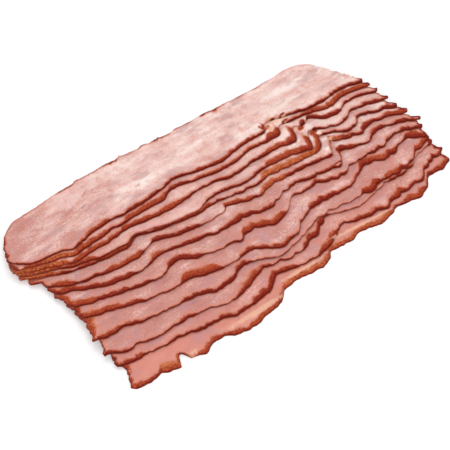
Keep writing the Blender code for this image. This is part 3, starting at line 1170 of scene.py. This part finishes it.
    def make(self, material: bpy.types.Material) -> bpy.types.Object:
        """Build the slice and dress it.

        Args:
            material: The meat's material.

        Returns:
            The piece, standing for its node.
        """
        top, under = self.sheets()
        points, quads, height = self.shell(top, under)
        x, y = points[:, 0], points[:, 1]
        name = f"rasher_{self.number:02d}"
        placed = points - np.array([*self.layout.centre, 0.0])
        mesh = new_mesh(f"{name}_slice", placed, quads)
        masks = self.crust_masks(points, height, under) | {
            "pallor": self.pallor(x, y),
            "stain": self.stain(x, y),
            "salmon": self.salmon(x),
            "fat": patch_depth(FAT_PATCHES, x, y),
            # Painted crevice shade, on the top face only.
            "seep": self.seep(x, y) * (height > 0.99),
            "grain": points + self.number * np.array([61.0, 23.0, 5.0]),
        }
        for mask, values in masks.items():
            add_attribute(mesh, mask, values)
        piece = add_piece(f"{name}_slice", mesh, material)
        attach(piece, "root")
        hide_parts(name)
        LOG.info("%s: %d points, %d faces", piece.name, len(points), len(quads))
        return piece


# ---- Materials ----


@dataclass(frozen=True)
class Link:
    """An output of a node that is already in the tree."""

    node: str
    output: int | str = 0


@dataclass(frozen=True)
class Step:
    """A node of a recipe: its kind, its settings, and a value or Link for each of its inputs."""

    kind: str
    settings: dict[str, object]
    inputs: dict[int | str, object]


def add_node(tree: bpy.types.NodeTree, name: str, step: Step) -> None:
    """Add a node with its settings and links.

    Args:
        tree: The node tree.
        name: Name that links find the node by.
        step: What the node is.
    """
    node = tree.nodes.new(step.kind)
    node.name = name
    for key, value in step.settings.items():
        setattr(node, key, value)
    for key, value in step.inputs.items():
        if isinstance(value, Link):
            tree.links.new(tree.nodes[value.node].outputs[value.output], node.inputs[key])
        else:
            node.inputs[key].default_value = value


def follow(recipe: dict[str, Step], name: str) -> bpy.types.Material:
    """A material whose nodes are a recipe's steps, in their order.

    Args:
        recipe: The steps by name. Each links only to those before it.
        name: Name of the material.

    Returns:
        The material.
    """
    made = bpy.data.materials.new(name)
    made.use_nodes = True
    made.node_tree.nodes.clear()
    for step_name, step in recipe.items():
        add_node(made.node_tree, step_name, step)
    return made


# Kinds of nodes and settings that the recipe uses again and again.
ATTRIBUTE, NOISE, MATHS = "ShaderNodeAttribute", "ShaderNodeTexNoise", "ShaderNodeMath"
VECTOR_MATHS, RANGE, MIX = "ShaderNodeVectorMath", "ShaderNodeMapRange", "ShaderNodeMix"
SMOOTH = {"interpolation_type": "SMOOTHSTEP"}
COLOURS = {"data_type": "RGBA", "clamp_factor": True}
SCALE_AND_ADD = {"operation": "MULTIPLY_ADD"}
TIMES = {"operation": "MULTIPLY"}
FIRST, SECOND, MIXED = 6, 7, 2
OUTPUTS = {ATTRIBUTE: "Fac", MIX: MIXED}
ATTRIBUTES = (
    "grain", "pallor", "salmon", "stain", "into_crust", "from_foot", "char", "gold", "seep", "fat"
)

# Sums: a name, what is scaled, by how much, and what is added to it.
SUMS = (
    ("tone 1", "clouds", 1.9, "pallor"),
    ("tone 2", "streaks", 0.65, "tone 1"),
    ("tone 3", "mottle", 1.5, "tone 2"),
    ("tone 4", "specks", 1.1, "tone 3"),
    ("tone", "tone 4", 1.0, -2.55),
    ("burn 1", "mottle", 1.8, "char"),
    ("burn", "from_foot", -0.22, "burn 1"),
    # Painted shade at the foot of each edge: how far up from the foot it reaches, and its strength,
    # less on gold crust.
    ("foot shade way", "mottle", 1.2, "from_foot"),
    ("whole foot shade", "gold", -0.55, 1.0),
    ("edge", "mottle", 1.4, "into_crust"),
    ("height", "mottle", 0.7, "streaks"),
)
# Smooth ramps: a name, what is read, where the ramp starts and ends, and how high it goes.
RAMPS = (
    ("to middle", "tone", -0.9, 0.1, 1.0),
    ("to pale", "tone", 0.0, 0.9, 1.0),
    ("to cream", "tone", 0.85, 1.8, 1.0),
    ("to mauve", "hues", 0.5, 0.68, 0.55),
    ("to russet", "burn", -0.15, 0.5, 1.0),
    ("to brown", "burn", 0.5, 1.15, 1.0),
    ("to maroon", "burn", 0.95, 1.5, 1.0),
    ("bright", "specks", 0.53, 0.64, 1.0),
    ("soot", "specks", 0.47, 0.36, 0.7),
    # Painted shade: the crust is darkened at the foot of the edge, where the crevice below it is.
    ("to foot shade", "foot shade way", 2.5, 1.1, "whole foot shade"),
    ("to peach", "edge", -1.7, 0.8, 1.0),
    ("to crust", "edge", -0.1, 1.7, 1.0),
    ("to fat", "fat", -0.5, 0.8, 0.72),
)


def source(steps: dict[str, Step], value: str | float) -> object:
    """A Link to the step of this name, the linear colour of a hex string, or a plain number."""
    if value in steps:
        return Link(value, OUTPUTS.get(steps[value].kind, 0))
    return srgb(value) if isinstance(value, str) else value


@dataclass(frozen=True)
class SlicedTurkey:
    """Cured, smoked turkey breast, machine-sliced: soft satin meat, with a glossier dark crust."""

    rosy: str = "B97A71"
    middle: str = "CB9188"
    pale: str = "E9C1B9"
    cream: str = "FAE4DC"
    salmon: str = "DC9080"
    stain: str = "8C4A38"
    peach: str = "D48A76"
    maroon: str = "7A1C10"
    brown: str = "9C361C"
    amber: str = "C8744C"
    russet: str = "AC4C2C"
    mauve: str = "BC8A8C"
    honey: str = "D07E3C"
    # Dark red of the painted shade at the foot of each edge.
    foot_shade: str = "6C190D"
    # Red-brown of the painted crevice shade.
    crevice_shade_red: str = "A0503C"
    fat: str = "EAB99F"
    meat_roughness: float = 0.55
    crust_roughness: float = 0.45
    shine: float = 0.12
    glow: float = 0.35
    glow_reach: float = 1.6

    def recipe(self) -> dict[str, Step]:
        """The nodes of the meat and its crust, mixed by the piece's own attributes.

        The meat's tone is its paleness, with painted shade in front of the next slice, plus clouds 9
        mm wide, streaks 2 mm by 12 mm and a mottle of about 1 mm. The crust runs from a foot painted
        dark as the crevice's shade, through its band's brown to a peach rim.

        Returns:
            The steps by name, each after those that it links to: noises, sums of one thing scaled
            and another added, smooth ramps between two values, and mixes of two colours.
        """
        steps = {name: Step(ATTRIBUTE, {"attribute_name": name}, {}) for name in ATTRIBUTES}
        grain = Link("grain", "Vector")
        steps["soft"] = Step(VECTOR_MATHS, TIMES, {0: grain, 1: (0.5, 1.0, 0.6)})
        steps["long"] = Step(VECTOR_MATHS, TIMES, {0: grain, 1: (0.15, 1.0, 0.6)})
        for name, vector, scale, detail in (
            ("clouds", Link("soft"), 0.16, 3.0),
            ("streaks", Link("long"), 0.5, 4.0),
            ("mottle", grain, 0.9, 3.0),
            ("specks", grain, 1.0, 2.0),
            ("hues", Link("soft"), 0.11, 4.0),
        ):
            steps[name] = Step(NOISE, {}, {"Vector": vector, "Scale": scale, "Detail": detail})
        for name, scaled, factor, added in SUMS:
            inputs = {0: source(steps, scaled), 1: factor, 2: source(steps, added)}
            steps[name] = Step(MATHS, SCALE_AND_ADD, inputs)
        for name, read, low, high, top in RAMPS:
            inputs = {0: source(steps, read), 1: low, 2: high, 4: source(steps, top)}
            steps[name] = Step(RANGE, SMOOTH, inputs)
        steps["flecks"] = Step(MATHS, TIMES, {0: Link("bright"), 1: source(steps, "gold")})
        for name, share, first, second in (
            ("meat 1", "to middle", self.rosy, self.middle),
            ("meat 2", "to pale", "meat 1", self.pale),
            ("meat 3", "to cream", "meat 2", self.cream),
            ("meat 4", "salmon", "meat 3", self.salmon),
            ("meat 5", "to mauve", "meat 4", self.mauve),
            ("meat", "stain", "meat 5", self.stain),
            ("crust 1", "to russet", self.amber, self.russet),
            ("crust 2", "to brown", "crust 1", self.brown),
            ("crust 3", "to maroon", "crust 2", self.maroon),
            ("crust 4", "flecks", "crust 3", self.honey),
            ("crust 5", "soot", "crust 4", self.maroon),
            # Painted shade at the foot of the edge.
            ("crust", "to foot shade", "crust 5", self.foot_shade),
            ("rim", "to peach", "meat", self.peach),
            ("colour", "to crust", "rim", "crust"),
            # Painted shade: the red-brown crevice line in front of the next slice's edge.
            ("crevice_shaded", "seep", "colour", self.crevice_shade_red),
            ("fatty", "to fat", "crevice_shaded", self.fat),
        ):
            inputs = {0: share, FIRST: first, SECOND: second}
            linked = {key: source(steps, value) for key, value in inputs.items()}
            steps[name] = Step(MIX, COLOURS, linked)
        roughness = {3: self.meat_roughness, 4: self.crust_roughness}
        steps["gloss"] = Step(RANGE, SMOOTH, {0: Link("edge"), 1: 0.0, 2: 1.2} | roughness)
        bumps = {"Strength": 0.6, "Distance": 0.3 * MM, "Height": Link("height")}
        steps["bump"] = Step("ShaderNodeBump", {}, bumps)
        surface = {
            "Base Color": Link("fatty", MIXED),
            "Roughness": Link("gloss"),
            "IOR": 1.4,
            "Specular IOR Level": self.shine,
            "Subsurface Weight": self.glow,
            "Subsurface Radius": (1.0, 0.3, 0.2),
            "Subsurface Scale": self.glow_reach * MM,
            "Normal": Link("bump"),
        }
        steps["surface"] = Step("ShaderNodeBsdfPrincipled", {}, surface)
        steps["output"] = Step("ShaderNodeOutputMaterial", {}, {"Surface": Link("surface")})
        return steps

    def material(self) -> bpy.types.Material:
        """The finished material."""
        return follow(self.recipe(), "sliced_smoked_turkey")


# ---- Studio ----


def aimed(name: str, data: bpy.types.ID, place: Vector, aim: Vector) -> bpy.types.Object:
    """Link a lamp or camera.

    Args:
        name: Name of the object.
        data: The lamp's or camera's data.
        place: Where it stands, in millimetres.
        aim: Where it looks.

    Returns:
        The object.
    """
    made = bpy.data.objects.new(name, data)
    made.location = place * MM
    made.rotation_mode = "QUATERNION"
    made.rotation_quaternion = (aim - place).to_track_quat("-Z", "Y")
    bpy.context.scene.collection.objects.link(made)
    return made


@dataclass(frozen=True)
class Studio:
    """A pale table, soft light from above and behind, and the camera."""

    azimuth: float = -38.0
    elevation: float = 53.0
    distance: float = 746.0
    lens: float = 100.0
    sensor: float = 36.0
    floor_size: float = 6000.0
    floor_drop: float = 0.05
    floor_colour: str = "F7F7F7"
    floor_glow: float = 0.12
    sky_strength: float = 0.68
    soft_boxes: tuple[tuple, ...] = (
        ("soft_box_above", (250.0, 500.0, 1200.0), 900.0, 4.4),
        ("soft_box_front", (-600.0, -900.0, 1000.0), 1100.0, 8.6),
    )

    def camera(self, aim: Vector) -> None:
        """Set the camera, looking at a point in part coordinates in millimetres."""
        a, e = math.radians(self.azimuth), math.radians(self.elevation)
        back = Vector((math.sin(a) * math.cos(e), -math.cos(a) * math.cos(e), math.sin(e)))
        data = bpy.data.cameras.new("camera")
        data.lens, data.sensor_width = self.lens, self.sensor
        data.clip_start, data.clip_end = 0.01, 20.0
        bpy.context.scene.camera = aimed("camera", data, aim + back * self.distance, aim)

    def floor(self) -> None:
        """Lay the matt white table that the fan rests on, lit a little from below."""
        half = 0.5 * self.floor_size
        corners = np.array([[-1, -1, 0], [1, -1, 0], [1, 1, 0], [-1, 1, 0]]) * half
        corners = corners - np.array([0.0, 0.0, self.floor_drop])
        mesh = new_mesh("table", corners, np.array([[0, 1, 2, 3]]))
        made = bpy.data.materials.new("matt_white_table")
        made.use_nodes = True
        surface = made.node_tree.nodes["Principled BSDF"]
        surface.inputs["Base Color"].default_value = srgb(self.floor_colour)
        surface.inputs["Roughness"].default_value = 0.9
        surface.inputs["Emission Color"].default_value = (1.0, 1.0, 1.0, 1.0)
        surface.inputs["Emission Strength"].default_value = self.floor_glow
        surface.inputs["Specular IOR Level"].default_value = 0.1
        table = add_piece("table", mesh, made)

    def lamp(self, name: str, place: Vector, size: float, watts: float) -> None:
        """A square soft box aimed at the fan, its place and size in millimetres."""
        data = bpy.data.lights.new(name, "AREA")
        data.shape, data.size, data.energy = "SQUARE", size * MM, watts
        aimed(name, data, place, Vector())

    def light(self) -> None:
        """An even white sky, a large soft box above and behind, and a weak one in front."""
        world = bpy.data.worlds.new("white_room")
        world.use_nodes = True
        sky = world.node_tree.nodes["Background"]
        sky.inputs["Color"].default_value = (1.0, 1.0, 1.0, 1.0)
        sky.inputs["Strength"].default_value = self.sky_strength
        bpy.context.scene.world = world
        for name, place, size, watts in self.soft_boxes:
            self.lamp(name, Vector(place), size, watts)

    def build(self, aim: Vector) -> None:
        """Make everything that isn't the fan."""
        self.floor()
        self.light()
        self.camera(aim)
        bpy.context.scene.view_settings.view_transform = "Standard"
        bpy.context.scene.view_settings.look = "None"


# ---- The whole fan ----


def main() -> None:
    """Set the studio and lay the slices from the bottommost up."""
    logging.basicConfig(level=logging.INFO, format="%(name)s: %(message)s")
    layout = FanLayout()
    Studio().build(Vector((-layout.centre[0], -layout.centre[1], 0.0)))
    meat = SlicedTurkey().material()
    build = SliceBuild()
    for number in range(1, RASHER_COUNT + 1):
        Rasher(number, layout, build).make(meat)


if __name__ == "__main__":
    main()
